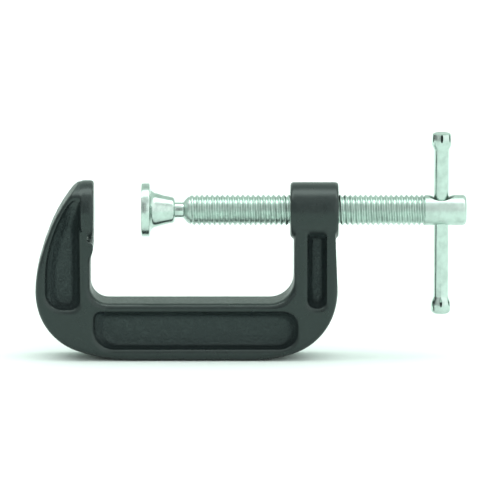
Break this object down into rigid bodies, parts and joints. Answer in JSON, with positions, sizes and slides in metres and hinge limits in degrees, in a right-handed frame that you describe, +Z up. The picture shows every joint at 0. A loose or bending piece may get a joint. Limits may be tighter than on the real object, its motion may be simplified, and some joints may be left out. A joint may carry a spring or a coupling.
{
  "type": "c clamp",
  "caption": "Cast C clamp with a ribbed frame, a coarse screw, a swivel pad on a ball end and a sliding T-bar handle.",
  "frame": {"origin": "centre of the anvil's face, on the screw's axis", "axes": "+X along the screw from the anvil towards the handle, +Z up from the spine, +Y across the flanges"},
  "size_m": [0.1339, 0.0186, 0.071],
  "materials": {
    "enamelled_casting": "glossy dark grey-green enamel over rough cast iron",
    "plated_screw": "bright plated steel",
    "plated_pad": "bright plated steel",
    "plated_bar": "bright plated steel"
  },
  "bodies": {
    "frame": {"frame": "enamelled_casting"},
    "neck": {"screw_neck": "plated_screw"},
    "screw": {"screw_shank": "plated_screw"},
    "handle": {"t_bar": "plated_bar"},
    "ball": {"screw_ball": "plated_screw"},
    "pad": {"swivel_pad": "plated_pad"}
  },
  "joints": [
    {"name": "screw_travel", "type": "slide", "parent": "frame", "child": "neck", "axis": [1, 0, 0], "range_m": [-0.01368, 0.03533]},
    {"name": "screw_turn", "type": "hinge", "parent": "neck", "child": "screw", "pos_m": [0.0281, 0, 0], "axis": [1, 0, 0], "range_deg": [-3100, 8010]},
    {"name": "handle_slide", "type": "slide", "parent": "screw", "child": "handle", "axis": [0, 0, 1], "range_m": [-0.0139, 0.0226]},
    {"name": "pad_spin", "type": "hinge", "parent": "neck", "child": "ball", "pos_m": [0.0224, 0, 0], "axis": [1, 0, 0], "continuous": true},
    {"name": "pad_tilt", "type": "hinge", "parent": "ball", "child": "pad", "pos_m": [0.0224, 0, 0], "axis": [0, 1, 0], "range_deg": [-8, 8]}
  ],
  "couplings": [
    {"joint": "screw_travel", "follows": "screw_turn", "m_per_rad": 0.00025266}
  ]
}
